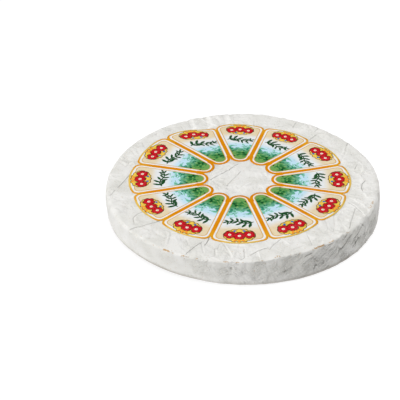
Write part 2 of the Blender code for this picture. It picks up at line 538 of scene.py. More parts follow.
# Relief of the rind, in millimetres. Crumples are: size across, size along, height (below zero: ridges
# instead of valleys), and depth of the fold lines between the facets. What is strongest in a direction has:
# direction, spread, strength all round, and how much more there.
rind = {
    "topFrom": (-9, -2),        # the top's relief sets in here, counted from where the top starts,
    "wallFrom": (-5, 1),        # the wall's here, counted from where the wall starts,
    "baseTo": (-8, 0),          # and the even base ends here, counted from where the foot starts
    "bareTo": (-3, 1),          # the rind is even again where the paper covers it
    "waves": (30, 0.20),        # low waves that the paper shares: size and height
    "inward": 0.45,             # how far the whole relief is set in, so that it stays in the solid's box
    "astray": (24, 6),          # the lattices are pushed about by noise: its size and reach
    "top": [(24, 24, 1.5, 0.55), (17, 17, -1.5, 0.45), (9.5, 9.5, 0.9, 0.30), (6.5, 6.5, -0.6, 0.16)],
    "foldHalf": 1.1,            # half width of the fold lines
    "foldPatches": 26,          # they come and go over this distance,
    "foldShown": (-0.35, 0.35),     # between these heights of the noise
    "topShares": (0.35, 0.7),   # how much painted shade the folds and painted highlight the ridges lay on the top,
    "wallShares": (1, 1),       # and the wall
    "spokes": [(7.5, 30, 1.5, 0.30), (9, 34, -1.5, 0.40)],  # across and along the radius
    "spokesAt": (102, 34, 0.12, 1),
    "spokesOut": (70, 120),     # they grow between these distances from the middle
    "lumps": [(16, 26, 2.2, 0.22), (9, 12, 0.9, 0.15)],     # on the wall
    "lumpsAt": (185, 34, 0.35, 0.65),
    "wrinkles": [(11, 22, 1.3, 0.40), (6.5, 18, -1.1, 0.45), (3.8, 12, 1.0, 0.32)],
    "wrinklesAt": (120, 52, 0.2, 0.8),
    "wrinkleLean": -2.1,        # millimetres clockwise for each millimetre up
    "wrinkleAstray": 0.5,       # they are pushed about by this much of the noise
    "wrinkledAt": (138, 56, 0.2, 0.8),      # where the fine folds are strong
    "footShade": 0.45,               # how much painted shade, brownish grey, lies on the foot all round
    "footShadeMore": [(217, 13, 0, 0.5), (142, 20, 0, 0.45)],      # and how much more in places
    "footShadeUpTo": (0.5, 8),
    "seeds": {
        "waves": 3,
        "astray": (91, 92),
        "shown": 77,
        "top": 5,
        "spokes": 31,
        "lumps": 51,
        "wrinkles": 71,
    },
    # creases by surface: depth (below zero: a ridge), half width, height of the lip beside it, and the
    # pixels that it runs through
    "creases": {
        "top": [
            (0.50, 0.9, 0.12, [(210.4, 179.6), (224, 172), (238, 163.8)]),
            (0.42, 0.8, 0.10, [(226.5, 185.4), (234, 178), (240.4, 171.5)]),
            (0.55, 0.9, 0.20, [(118, 187), (124, 181), (130, 174)]),
            (0.45, 0.9, 0.15, [(110, 194.5), (115, 190.5)]),
            (0.30, 1.1, 0.20, [(110, 197), (117, 199.5), (124, 200)]),
            (0.45, 1.0, 0.25, [(143, 211), (137, 213.5), (133, 218), (134, 223)]),
            (0.50, 0.8, 0.10, [(130, 228.5), (146, 224.5), (162, 219.5)]),
            (0.35, 1.2, 0.30, [(168, 243), (170.5, 235), (170, 231), (163, 229.5)]),
            (0.55, 0.9, 0.20, [(186, 253.5), (193, 247.5), (201, 242)]),
            (0.60, 0.9, 0.15, [(205, 244.5), (207, 242), (209, 238)]),
            (0.35, 1.1, 0.20, [(222, 243), (225, 246), (227, 250)]),
            (0.50, 1.1, 0.30, [(355, 168), (357, 164.5)]),
            (0.60, 1.1, 0.35, [(362.5, 190.5), (361.5, 187), (362, 184), (365, 180.5)]),
            (-0.65, 1.3, 0.00, [(350, 198), (358, 202), (365, 206), (370, 211)]),
            (0.45, 1.0, 0.25, [(349.5, 228), (351, 222), (353.5, 214), (355, 209)]),
            (0.35, 0.9, 0.15, [(307, 235), (310, 240), (312, 245)]),
            (0.35, 1.2, 0.20, [(143.5, 147), (143, 144.5), (142, 142)]),
            (0.35, 1.2, 0.20, [(181, 126), (183, 129)]),
            (0.35, 1.0, 0.15, [(254, 120), (254, 126)]),
            (0.40, 1.0, 0.25, [(293, 126), (296, 121)]),
            (0.45, 1.0, 0.30, [(309, 139), (316, 134)]),
            (0.40, 1.0, 0.25, [(315, 131), (318, 128)]),
            (0.50, 1.0, 0.35, [(347.6, 142.5), (346.6, 145)]),
            (0.30, 1.3, 0.30, [(346.6, 145), (344.8, 153), (340.3, 160.8)]),
            (-0.45, 1.2, 0.00, [(344.6, 146), (342, 154)]),
            (0.50, 1.2, 0.30, [(348.5, 203), (354, 206.5), (362, 212.5)]),
            (-0.75, 1.3, 0.00, [(351.3, 204.5), (359, 210), (367, 216.2)]),
            (0.40, 1.5, 0.30, [(337.7, 208.9), (333.5, 216.2), (334.5, 224.6), (333.5, 230.9)]),
            (0.35, 1.3, 0.20, [(325.1, 220.4), (327.7, 228.8)]),
            (-0.60, 1.4, 0.00, [(363.8, 193.2), (366.9, 197.4), (375.3, 197.9)]),
            (-0.50, 1.3, 0.00, [(356.5, 159.7), (362.8, 165), (361.7, 172.3)]),
            (-0.50, 1.4, 0.00, [(352.3, 171.3), (360.7, 175.4), (362.8, 182.8)]),
            (0.40, 1.1, 0.30, [(214.4, 247.9), (215, 254.7), (209.9, 257)]),
            (-0.45, 1.2, 0.00, [(226.9, 245.6), (232.6, 257)]),
            (0.45, 1.1, 0.30, [(243.9, 249), (244.5, 257), (241, 258.5)]),
            (0.50, 1.0, 0.35, [(250.7, 254.7), (256.4, 251.3), (266.6, 247.9)]),
            (0.45, 1.1, 0.35, [(270, 249), (274.5, 243.3), (280.2, 239.4)]),
            (-0.50, 1.2, 0.00, [(283.6, 240), (289.3, 244.5)]),
            (-0.50, 1.2, 0.00, [(257.5, 249), (259.8, 257)]),
            (0.35, 1.1, 0.25, [(186, 239.4), (187.8, 243.9)]),
            (0.35, 1.2, 0.25, [(200.8, 242.2), (203, 252.4)]),
            (0.35, 1.1, 0.25, [(220, 244), (216.7, 249)]),
            (0.35, 1.2, 0.25, [(293.8, 249), (302.9, 245.6)]),
            (1.00, 3.0, 0.55, [(187, 119), (191, 127)]),
            (1.10, 3.2, 0.60, [(203, 116.5), (206, 121), (207, 125)]),
            (0.90, 3.0, 0.50, [(222, 114.5), (225, 121)]),
            (-0.80, 2.0, 0.00, [(201.3, 118.2), (211.8, 123), (215.8, 125)]),
            (0.70, 2.0, 0.30, [(214.5, 117.1), (219, 121)]),
            (0.40, 1.6, 0.30, [(129.6, 149.3), (134.2, 153.9)]),
            (0.45, 1.8, 0.35, [(117.8, 160.5), (125, 165.8), (131.6, 164.5)]),
        ],
        "wall": [
            (0.90, 0.9, 0.20, [(355.1, 243.8), (358.0, 238.7)]),
            (0.80, 0.9, 0.15, [(359.4, 238.7), (360.6, 236.4)]),
            (0.80, 0.9, 0.15, [(363.3, 238.0), (363.8, 236.5)]),
            (0.80, 0.9, 0.15, [(364.3, 235.4), (364.6, 233.8)]),
            (0.80, 0.9, 0.15, [(374.2, 220.4), (375.0, 218.1)]),
            (0.80, 0.9, 0.15, [(339.1, 250.9), (340.2, 248.6)]),
            (0.65, 1.0, 0.25, [(341.6, 249.0), (345.9, 243.8), (348.8, 238.7), (351.6, 234.9)]),
            (0.35, 1.2, 0.25, [(366.0, 232.0), (371.5, 221.0)]),
            (0.40, 1.1, 0.30, [(327.0, 261.0), (333.8, 253.0), (337.5, 246.8)]),
            (0.55, 1.0, 0.25, [(353.9, 238.7), (358.5, 233.2), (361.7, 227.2)]),
            (0.35, 1.1, 0.30, [(305.0, 262.5), (313.0, 257.0)]),
            (0.35, 1.1, 0.30, [(318.0, 265.0), (326.0, 258.5)]),
            (0.50, 1.2, 0.25, [(322.0, 256.5), (331.0, 249.5)]),
            (0.90, 0.9, 0.15, [(314.3, 269.5), (315.5, 265.6)]),
            (0.50, 0.9, 0.15, [(284.5, 272.0), (287.0, 271.0)]),
            (0.60, 0.9, 0.15, [(362.0, 223.6), (363.5, 226.0)]),
            (0.60, 1.0, 0.15, [(369.2, 234.2), (369.8, 232.6)]),
            (0.50, 1.0, 0.15, [(352.8, 247.2), (353.5, 245.6)]),
            (0.80, 1.0, 0.15, [(305.5, 256.4), (311.0, 253.6)]),
            (0.60, 1.0, 0.15, [(328.5, 246.2), (332.0, 243.9)]),
        ],
    },
    "creaseShade": (0.2, 0.4, 2),    # a crease's painted shade: by its depth beyond this, over this, at most this
    "creaseShadeTo": (1.4, 2.6),     # it ends between these distances,
    "creaseShadeOff": 3.0,           # and from here on a point is near no crease
    # where the rim is worn: strength, half width, and the pixels that it runs through
    "wear": [
        (1.00, 0.9, [(163.5, 249), (168, 251), (171, 252.3), (173.5, 253.5)]),
        (0.75, 0.7, [(181, 254.6), (185, 256.2), (190, 257.6)]),
        (0.60, 0.6, [(194, 258), (197, 258.6)]),
        (0.60, 0.6, [(224, 261.3), (228, 261.8)]),
        (0.65, 0.7, [(236, 262), (244, 262.3)]),
        (0.55, 0.5, [(260, 260.6), (267, 260.5)]),
        (0.60, 0.6, [(276, 257.3), (279, 256.6)]),
        (0.65, 0.6, [(300, 253.6), (305, 252.6)]),
        (0.85, 0.4, [(308, 251.3), (314, 249), (318, 247), (324, 244.6)]),
        (0.62, 0.5, [(329, 242), (333, 240.6)]),
        (0.55, 0.4, [(348, 232.4), (350, 231)]),
        (0.36, 1.1, [(369.5, 207.5), (371.5, 205), (373.5, 201)]),
        (0.50, 0.9, [(131, 231), (139, 238), (151, 244.2), (160, 248.3)]),
    ],
    "wearSoft": 0.8,            # how softly the wear ends beside its half width
    # pits by surface: pixel, depth and half width
    "pits": {
        "wall": [
            ((285, 271.5), 0.9, 1.4), ((314.5, 265), 0.7, 1.2), ((314.8, 268.5), 0.8, 1.2),
            ((339, 249), 0.8, 1.5), ((327, 250), 0.7, 1.5), ((355, 242), 0.9, 1.7),
            ((358, 238), 0.8, 1.5), ((231, 269), 0.9, 2.2), ((204, 270.5), 0.7, 1.4),
        ],
        "top": [((256, 252), 0.5, 0.9), ((262.5, 243.5), 0.5, 0.9), ((219.5, 235), 0.4, 0.9)],
    },
    "darkPit": 0.9,             # depth of a pit whose painted shade is full all through
}


def nearLine(points, line, outward=(0, 0, 1)):
    # distance from a line through 3-D points, with a sign for the side of it, seen from outside the surface
    hair = 1e-9     # a point on the line itself counts as beside it by this much
    best = np.full(len(points), np.inf)
    side = np.zeros(len(points))
    for start, end in zip(line, line[1:]):
        span = end - start
        share = np.clip((points - start) @ span / (span @ span), 0, 1)
        away = points - start - share[:, None] * span
        distance = np.linalg.norm(away, axis=1)
        closer = distance < best
        best = np.where(closer, distance, best)
        aside = (np.cross(span, away) * outward).sum(axis=1)
        side = np.where(closer, np.sign(aside + hair), side)
    return best * side


def crumples(places, table, seed, shown, around=None):
    # sum of crumples, each on its own lattice of width by length, with fold lines where they are shown, and
    # the depth of the deepest furrow and height of the highest ridge. Around: length of a full turn.
    settle = 0.12       # brings the mean height of a crumple to nothing
    total, deepest, highest = 0, 0, 0
    for step, (width, length, height, fold) in enumerate(table):
        count = round(around / width) if around else None
        cells = places / [around / count if around else width, length]
        dome, away = crumple(cells, seed + 2 * step, count)
        line = fold * shown * np.exp(-((away * width / rind["foldHalf"]) ** 2))
        total = total + height * (dome + settle) - np.sign(height) * line
        deepest = np.maximum(deepest, line) if height > 0 else deepest
        highest = np.maximum(highest, line) if height < 0 else highest
    return total, deepest, highest


def crumpledSkin(points, angle, station, onTop, onSide):
    # height of the crumples, and how strongly their folds take painted shade and their ridges a painted
    # highlight
    radius = np.hypot(points[:, 0], points[:, 1])
    girth = angle * wheel["diameter"] / 2
    turn = np.pi * wheel["diameter"]
    size, reach = rind["astray"]
    astray = reach * np.stack([noise(points / size, seed) for seed in rind["seeds"]["astray"]], axis=1)
    shown = smoothStep(noise(points / rind["foldPatches"], rind["seeds"]["shown"]), *rind["foldShown"])
    leaning = girth - rind["wrinkleLean"] * points[:, 2]
    places = {
        "top": points[:, :2] + astray,
        "spokes": np.column_stack([girth, radius]) + astray,
        "lumps": np.column_stack([girth, station]) + astray,
        "wrinkles": np.column_stack([leaning, station]) + rind["wrinkleAstray"] * astray,
    }
    near = {name: nearAngle(angle, *rind[name + "At"]) for name in ("spokes", "lumps", "wrinkles")}
    near["spokes"] = near["spokes"] * smoothStep(radius, *rind["spokesOut"])
    near["top"] = 1

    # for each surface its crumples, with the length of a full turn where they run round the wheel
    surfaces = [
        (onTop, rind["topShares"], {"top": None, "spokes": turn}),
        (onSide, rind["wallShares"], {"lumps": turn, "wrinkles": turn}),
    ]
    height, folds, ridges = 0, 0, 0
    for where, (foldShare, ridgeShare), layers in surfaces:
        deepest, highest = 0, 0
        for name, around in layers.items():
            seed = rind["seeds"][name]
            rise, furrow, ridgeHighlight = crumples(places[name], rind[name], seed, shown, around)
            height = height + where * near[name] * rise
            deepest = np.maximum(deepest, near[name] * furrow)
            highest = np.maximum(highest, near[name] * ridgeHighlight)
        # painted shade along the folds and a painted highlight along the ridges
        folds = folds + foldShare * where * deepest
        ridges = ridges + ridgeShare * where * highest
    return height, folds, ridges


def rindRelief(points, angle, station):
    # height of the relief over the even skin, and what the finish needs to know at each point
    onTop = smoothStep(station - starts["top"], *rind["topFrom"])
    onSide = smoothStep(station - starts["wall"], *rind["wallFrom"]) * (1 - onTop)
    onBase = 1 - smoothStep(station - starts["foot"], *rind["baseTo"])
    bare = 1 - smoothStep(paperEdge(petalLocal(points[:, :2]), False), *rind["bareTo"])
    bare = np.where(station > starts["top"], bare, 1)
    height, folds, highlightMask = crumpledSkin(points, angle, station, bare * onTop, onSide)
    height = height + paperWaves(points[:, :2]) * onTop

    side = np.full(len(points), rind["creaseShadeOff"])
    depth = np.zeros(len(points))
    beyond, over, most = rind["creaseShade"]
    for surface, table in rind["creases"].items():
        outward = (0, 0, 1) if surface == "top" else points * [1, 1, 0]
        for deep, width, lip, pixels in table:
            line = seenOn[surface](pixels)
            line[:, 2] += swell(line[:, :2]) if surface == "top" else 0
            away = nearLine(points, line, outward)
            across = np.exp(-((away / width) ** 2))
            beside = np.exp(-(((away - 2 * width) / width) ** 2))
            height = height - deep * across + lip * beside
            # a painted highlight on ridge creases and on the lip beside each crease
            highlightMask = np.maximum(highlightMask, np.maximum(-deep * across, lip * beside))
            # painted shade, with a little grey mould, from the nearest crease
            closer = (np.abs(away) < np.abs(side)) & (deep > 0)
            side = np.where(closer, away, side)
            strength = np.clip((deep - beyond) / over, 0, most) / max(1, width) ** 2
            strength = strength * (1 - smoothStep(np.abs(away), *rind["creaseShadeTo"]))
            depth = np.where(closer, strength, depth)

    pit = np.zeros(len(points))
    for surface, table in rind["pits"].items():
        for pixel, deep, width in table:
            spot = seenOn[surface]([pixel])[0]
            near = np.exp(-(((points - spot) ** 2).sum(axis=1) / width**2))
            height = height - deep * near
            # painted shade in the pit
            pit = np.maximum(pit, near * deep / rind["darkPit"])

    wear = np.zeros(len(points))
    for strength, width, pixels in rind["wear"]:
        away = np.maximum(np.abs(nearLine(points, seenOnTop(pixels))) - width, 0)
        wear = np.maximum(wear, strength * np.exp(-((away / rind["wearSoft"]) ** 2)))

    height = (height - rind["inward"]) * (1 - onBase)
    wrinkled = onSide * nearAngle(angle, *rind["wrinkledAt"])
    # painted shade at the foot, where the floor beside it lies in shadow: some all round, more in places,
    # fading upwards
    footShade = rind["footShade"] + sum(nearAngle(angle, *place) for place in rind["footShadeMore"])
    footShade = footShade * (1 - smoothStep(points[:, 2], *rind["footShadeUpTo"])) * (1 - onBase)
    looks = {
        "creaseSide": side,
        "creaseDepth": depth,
        "pit": pit,
        "wear": wear,
        "fold": folds,
        "highlightMask": highlightMask,
        "wrinkled": wrinkled,
        "footShade": footShade,
    }
    return height, looks


def paperWaves(plan):
    # low waves that the rind's top and the paper on it share
    size, height = rind["waves"]
    flat = np.concatenate([plan, np.zeros((*plan.shape[:-1], 1))], axis=-1)
    return height * noise(flat / size, rind["seeds"]["waves"])


def stitch(first, firstCount, second, secondCount):
    # triangles between two closed rows of points, of equal counts or one with twice as many as the other
    step = np.arange(max(firstCount, secondCount))
    following = (step + 1) % len(step)
    if firstCount == secondCount:
        lower = np.column_stack([first + step, second + step, second + following])
        upper = np.column_stack([first + step, second + following, first + following])
        return np.concatenate([lower, upper])
    if firstCount > secondCount:
        near, far = second + step // 2, second + (step + 1) // 2 % secondCount
        wide = np.column_stack([first + step, near, first + following])
        gap = np.column_stack([first + step, near, far])[step % 2 == 1]
        wide[step % 2 == 1, 1] = far[step % 2 == 1]
        return np.concatenate([wide, gap])
    flipped = stitch(second, secondCount, first, firstCount)
    return flipped[:, ::-1]


def wheelPiece(material):
    # rows of points along the skin, each a closed ring, set out along the skin's normal by the relief
    rows = []
    for name, low, high, spacing, count in skinRows:
        length = (high - low) * stretches[name]
        steps = max(1, round(length / spacing))
        for step in range(steps):
            rows.append((count, starts[name] + low * stretches[name] + length * step / steps))
    angle = np.concatenate([np.arange(count) * 2 * np.pi / count for count, station in rows])
    station = np.concatenate([np.full(count, station) for count, station in rows])
    points = skin(angle, station)
    smallTurn, smallStep = 1e-4, 0.02       # to either side, for the directions along the skin
    beside = skin(angle + smallTurn, station) - skin(angle - smallTurn, station)
    onward = skin(angle, station + smallStep) - skin(angle, station - smallStep)
    normal = np.cross(onward, beside)
    normal /= np.linalg.norm(normal, axis=1)[:, None]
    height, attributes = rindRelief(points, angle, station)
    points = points + normal * height[:, None]

    first = np.cumsum([0] + [count for count, station in rows])
    faces = [stitch(first[i], rows[i][0], first[i + 1], rows[i + 1][0]) for i in range(len(rows) - 1)]
    bottom, top = len(points), len(points) + 1
    step = np.arange(rows[0][0])
    faces.append(np.column_stack([np.full(len(step), bottom), step, (step + 1) % len(step)]))
    step = np.arange(rows[-1][0])
    last = first[-2]
    faces.append(np.column_stack([last + step, np.full(len(step), top), last + (step + 1) % len(step)]))
    middle = points[last:].mean(axis=0)
    points = np.concatenate([points, [[0, 0, 0], middle]])
    attributes = {key: np.append(values, [values[0], values[-1]]) for key, values in attributes.items()}
    low, high = (np.array(corner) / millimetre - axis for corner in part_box("brie_wheel"))
    points = np.clip(points, low, high)
    made = addMesh("rindWheel", points, np.concatenate(faces), material, attributes)
    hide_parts("brie_wheel")


def bloomyRind():
    # white mould felt on soft cheese: matt and chalky, with painted shade, a little grey and tan, in its
    # pits, creases and folds, and a painted highlight on its ridges; brown where the felt is rubbed off
    # along the rim; painted shade at the foot. Two numbers say where a pattern or mark begins to show and
    # where it shows in full, and a third how strongly.
    look = {
        "bloom": "#DDDCD9",
        "shade": "#D5D4CF",
        # painted shade in the pits, grey brown
        "pitShade": "#8A857B",
        # painted shade, with a little grey mould, in creases and folds
        "crease": "#96948F",
        # painted highlight on the ridges
        "ridgeHighlight": "#F1F0ED",
        "worn": "#B4905F",
        # painted shade at the foot, brownish grey
        "foot": "#9A9388",
        "roughness": 0.9,
        "shine": 0.2,
        "sizes": {"patch": 28, "grain": 1.8, "wrinkle": 5},     # of the patterns, in millimetres
        "patches": (0.35, 0.65),
        "flecks": (0.52, 0.75, 0.25),
        "marks": {"highlightMask": (0.05, 0.6, 0.6), "fold": (0.05, 0.5, 0.5), "pit": (0.35, 1.0, 0.8)},
        "creaseHalf": (0.1, 0.8),       # a crease's painted shade fades between these distances
        "crumbGrain": (0.3, 0.7, 0.5),  # grain between the first two moves the wear's edge by the third
        "crumbs": (0.35, 0.65, 0.9),
        "foldCells": (11, 6, 3.5),      # width of the cells between fine fold lines
        "foldHalf": 0.96,
        "foldStrength": (0.35, 0.05),   # of their lines, and how much more for each millimetre of width
        "foldPatch": 14,                # fine folds come and go over this distance,
        "foldGather": (0.40, 0.60, 0.2),        # from a fifth of their strength
        # how much painted shade the fine folds lay where the wall is wrinkled
        "foldShadeShare": 0.14,
        "foldRelief": (0.05, 1.2, 2.2),         # everywhere, more on the top, and more where it is wrinkled
        "topAbove": (0.030, 0.0345),    # metres
        "bend": (10, 9),                # the cells are bent by noise: its size and reach
        "lean": (-1.35, -1.2, 0),       # how fine folds lean on the wall, for each millimetre up
        "squash": (1, 1, 0.3),          # heights count for less, so that the cells are taller than wide
        "relief": {"wrinkle": 0.18, "grain": 0.09, "fold": 0.25, "crease": 0.3},
    }
    made, tree, shader = newMaterial("bloomy rind", look["roughness"], look["shine"])
    place = addNode(tree, "TexCoord", out=3)
    pattern, mark = {}, {}
    for name, size in look["sizes"].items():
        fine = {"Vector": place, "Scale": metre / size, "Detail": 3.0}
        pattern[name] = addNode(tree, "TexNoise", {}, fine)
    for name in ("highlightMask", "fold", "pit", "creaseSide", "creaseDepth", "wrinkled", "wear", "footShade"):
        mark[name] = addNode(tree, "Attribute", {"attribute_name": name}, out=2)
    for name, limits in look["marks"].items():
        mark[name] = addNode(tree, "MapRange", softly, rising(mark[name], *limits))
    patches = addNode(tree, "MapRange", softly, rising(pattern["patch"], *look["patches"]))
    flecks = addNode(tree, "MapRange", softly, rising(pattern["grain"], *look["flecks"]))

    away = addNode(tree, "Math", {"operation": "ABSOLUTE"}, {0: mark["creaseSide"]})
    near, far = look["creaseHalf"]
    crease = addNode(tree, "MapRange", softly, {0: away, 1: near, 2: far, 3: 1.0, 4: 0.0})
    crease = addNode(tree, "Math", times, {0: crease, 1: mark["creaseDepth"]})

    # fine folds: edges of bent cells, taller than wide on the wall, darkest where they gather
    size, reach = look["bend"]
    bend = addNode(tree, "TexNoise", {}, {"Vector": place, "Scale": metre / size, "Detail": 2.0}, 1)
    bend = addNode(tree, "VectorMath", timesPlus, {0: bend, 1: [reach * millimetre] * 3, 2: place})
    rise = addNode(tree, "SeparateXYZ", {}, {0: place}, 2)
    bend = addNode(tree, "VectorMath", timesPlus, {0: rise, 1: look["lean"], 2: bend})
    bend = addNode(tree, "VectorMath", times, {0: bend, 1: look["squash"]})
    toEdge = {"feature": "DISTANCE_TO_EDGE"}
    fineFolds = 0
    for width in look["foldCells"]:
        cells = addNode(tree, "TexVoronoi", toEdge, {"Vector": bend, "Scale": metre / width})
        strength = look["foldStrength"][0] + look["foldStrength"][1] * width
        edges = {0: cells, 1: 0.0, 2: look["foldHalf"] / width, 3: strength, 4: 0.0}
        edges = addNode(tree, "MapRange", softly, edges)
        fineFolds = addNode(tree, "Math", plus, {0: edges, 1: fineFolds})
    scale = metre / look["foldPatch"]
    low, high, least = look["foldGather"]
    gather = addNode(tree, "TexNoise", {}, {"Vector": place, "Scale": scale, "Detail": 1.0})
    gather = addNode(tree, "MapRange", softly, {0: gather, 1: low, 2: high, 3: least})
    fineFolds = addNode(tree, "Math", times, {0: fineFolds, 1: gather})
    # painted shade in the fine folds where the wall is wrinkled
    foldShade = addNode(tree, "Math", times, {0: fineFolds, 1: mark["wrinkled"]})
    foldShade = addNode(tree, "Math", times, {0: foldShade, 1: look["foldShadeShare"]})
    onTop = addNode(tree, "MapRange", softly, rising(rise, *look["topAbove"]))
    allOver, moreOnTop, moreWrinkled = look["foldRelief"]
    deeper = addNode(tree, "Math", timesPlus, {0: onTop, 1: moreOnTop, 2: allOver})
    deeper = addNode(tree, "Math", timesPlus, {0: mark["wrinkled"], 1: moreWrinkled, 2: deeper})
    fineFolds = addNode(tree, "Math", times, {0: fineFolds, 1: deeper})

    # the felt rubs off in crumbs: wear and grain together, with a sharp edge
    low, high, reach = look["crumbGrain"]
    crumbs = addNode(tree, "MapRange", {}, {0: pattern["grain"], 1: low, 2: high, 3: -reach, 4: reach})
    crumbs = addNode(tree, "Math", plus, {0: crumbs, 1: mark["wear"]})
    crumbs = addNode(tree, "MapRange", softly, rising(crumbs, *look["crumbs"]))

    # tints one over another: random patches and flecks, a painted highlight on the ridges, painted shade in
    # creases, folds and pits, brown wear along the rim, and painted shade where the foot meets the counter
    layers = [(patches, "shade"), (flecks, "shade"), (mark["highlightMask"], "ridgeHighlight"), (crease, "crease")]
    layers += [(foldShade, "crease"), (mark["fold"], "crease"), (mark["pit"], "pitShade")]
    layers += [(crumbs, "worn"), (mark["footShade"], "foot")]
    colour = linear(look["bloom"])
    for mask, tint in layers:
        colour = addNode(tree, "Mix", colourMix, {0: mask, 6: colour, 7: linear(look[tint])}, 2)
    tree.links.new(colour, shader.inputs["Base Color"])

    # relief finer than the mesh: wrinkles and grain stand out, folds and creases are sunk
    heights = {"wrinkle": pattern["wrinkle"], "grain": pattern["grain"], "fold": fineFolds, "crease": crease}
    normal = {}
    for name, height in heights.items():
        relief = {"Strength": 1.0, "Distance": look["relief"][name] * millimetre, "Height": height}
        sunk = name in ("fold", "crease")
        normal = {"Normal": addNode(tree, "Bump", {"invert": sunk}, {**relief, **normal})}
    tree.links.new(normal["Normal"], shader.inputs["Normal"])
    return made


wheelPiece(bloomyRind())
print("wheel made")


def paperTop(plan):
    # height of the paper's upper side: it lies on the rind, shares its low waves, and its edges lie closer
    edge = paperEdge(petalLocal(plan), False)
    sag, reach = ring["edgeSag"]
    sag = sag * (1 - smoothStep(edge, 0, reach))
    over = ring["gap"] + ring["paper"] - rind["inward"]
    return wheel["thickness"] + over + swell(plan) + paperWaves(plan) - sag


def labelPiece(material):
    # rows from the tips to the ends of the petals: out over the underside, back over the upper side
    inner, outer = petalEdges()
    share = np.linspace(0, 1, ring["rows"] + 1)[:, None, None]
    local = inner + (outer - inner) * share
    columns = len(inner) - 1
    around = columns * ring["petals"]
    numbers = np.repeat(np.arange(ring["petals"]), columns)
    flat = np.tile(local[:, :-1], (1, ring["petals"], 1))
    plan = petalPlan(flat, numbers)
    top = paperTop(plan)
    rows = np.concatenate([np.arange(ring["rows"] + 1), np.arange(ring["rows"] + 1)[::-1]])
    heights = np.concatenate([top - ring["paper"], top[::-1]])
    points = np.concatenate([plan[rows], heights[..., None]], axis=-1)

    row = np.arange(len(rows))[:, None]
    column = np.arange(around)[None]
    nextRow, nextColumn = (row + 1) % len(rows), (column + 1) % around
    corners = [(row, column), (nextRow, column), (nextRow, nextColumn), (row, nextColumn)]
    faces = np.stack([a * around + b for a, b in corners], axis=-1).reshape(-1, 4)
    within = column % columns
    uv = [local[rows[a], within + shift] for a, shift in ((row, 0), (nextRow, 0), (nextRow, 1), (row, 1))]
    uv = np.stack([np.broadcast_to(part, (len(rows), around, 2)) for part in uv], axis=-2)
    uv = uv / printed["mapSize"]
    flatRows = flat[rows]
    attributes = {
        "edge": paperEdge(flatRows, True).ravel(),
        "panel": panelEdge(flatRows).ravel(),
        "along": flatRows[..., 1].ravel(),
        "gilt": giltOf(flatRows[..., 0], flatRows[..., 1]).ravel(),
    }
    made = addMesh("labelPaper", points.reshape(-1, 3), faces, material, attributes, uv)
    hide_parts("label_ring")


def giltOf(across, along):
    # the border's colour: 0 for orange, 0.5 for amber at the outer corners, 1 for pale gold at the middle of
    # the end
    middle = 1 - smoothStep(np.abs(across), *printed["goldWithin"])
    golden = smoothStep(along, *printed["goldFrom"]) * middle
    return (smoothStep(along, *printed["amberFrom"]) + golden) / 2


def panelEdge(local):
    # distance in from the edge of the printed panel: straight sides, a round tip between them, a broad end
    across, along = np.abs(local[..., 0]), local[..., 1]
    fromSide = along * np.sin(halfPetal) - across * np.cos(halfPetal) - printed["inset"]
    apex = printed["inset"] / np.sin(halfPetal)
    centre = (printed["tipDistance"] - printed["inset"]) / (1 - np.sin(halfPetal))
    radius = (centre - apex) * np.sin(halfPetal)
    tip = radius - np.hypot(across, along - centre)
    fromSide = np.where(along < centre - across * np.tan(halfPetal), tip, fromSide)
    end = printed["endDistance"] - np.hypot(across, along)
    return roundLeast(fromSide, end, printed["cornerRadius"])


